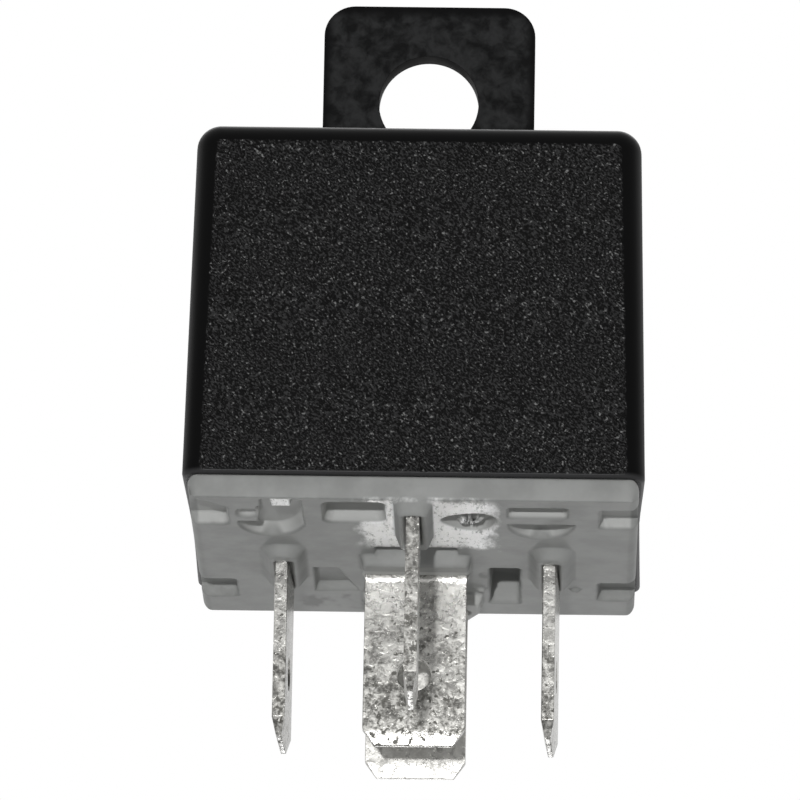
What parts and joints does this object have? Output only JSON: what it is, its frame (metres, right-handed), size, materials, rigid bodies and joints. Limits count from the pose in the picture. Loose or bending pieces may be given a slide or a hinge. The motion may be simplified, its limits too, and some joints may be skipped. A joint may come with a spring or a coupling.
{
  "type": "automotive relay",
  "caption": "Plug-in automotive changeover relay: black moulded cover with a holed mounting tab, grey base and flat blade terminals.",
  "frame": {"origin": "on the plug-in axis, at the underside of the base where it meets the socket", "axes": "+Z away from the socket, towards the cover's top; +Y towards the mounting tab and terminal 87; +X towards terminal 85"},
  "size_m": [0.028, 0.028, 0.0515],
  "materials": {
    "cover_plastic": "spark-textured black moulding",
    "base_plastic": "satin grey moulding",
    "terminal_tin": "tin plate, lightly tarnished",
    "contact_silver": "bright silver alloy",
    "magnet_iron": "zinc-plated soft iron",
    "bobbin_plastic": "natural moulding",
    "copper_wire": "enamelled copper",
    "coil_tape": "polyester film tape",
    "spring_bronze": "rolled bronze",
    "rivet_steel": "plated steel"
  },
  "bodies": {
    "housing": {"cover": "cover_plastic", "base": "base_plastic", "terminal_30": "terminal_tin", "terminal_85": "terminal_tin", "terminal_86": "terminal_tin", "terminal_87": "terminal_tin", "terminal_87a": "terminal_tin", "contact_87": "contact_silver", "contact_87a": "contact_silver", "yoke": "magnet_iron", "core": "magnet_iron", "bobbin": "bobbin_plastic", "winding": "copper_wire", "coil_tape": "coil_tape", "lead_85": "copper_wire", "lead_86": "copper_wire", "yoke_rivet_left": "rivet_steel", "yoke_rivet_right": "rivet_steel"},
    "armature_assembly": {"armature": "magnet_iron", "leaf_spring": "spring_bronze", "moving_contact": "contact_silver", "armature_rivet_left": "rivet_steel", "armature_rivet_right": "rivet_steel"}
  },
  "joints": [
    {"name": "armature_hinge", "type": "hinge", "parent": "housing", "child": "armature_assembly", "pos_m": [0, -0.0113, 0.0179], "axis": [-1, 0, 0], "range_deg": [0, 2], "stiffness_Nm_per_rad": 0.05, "springref_deg": -2.86, "deforming": ["leaf_spring"]}
  ]
}
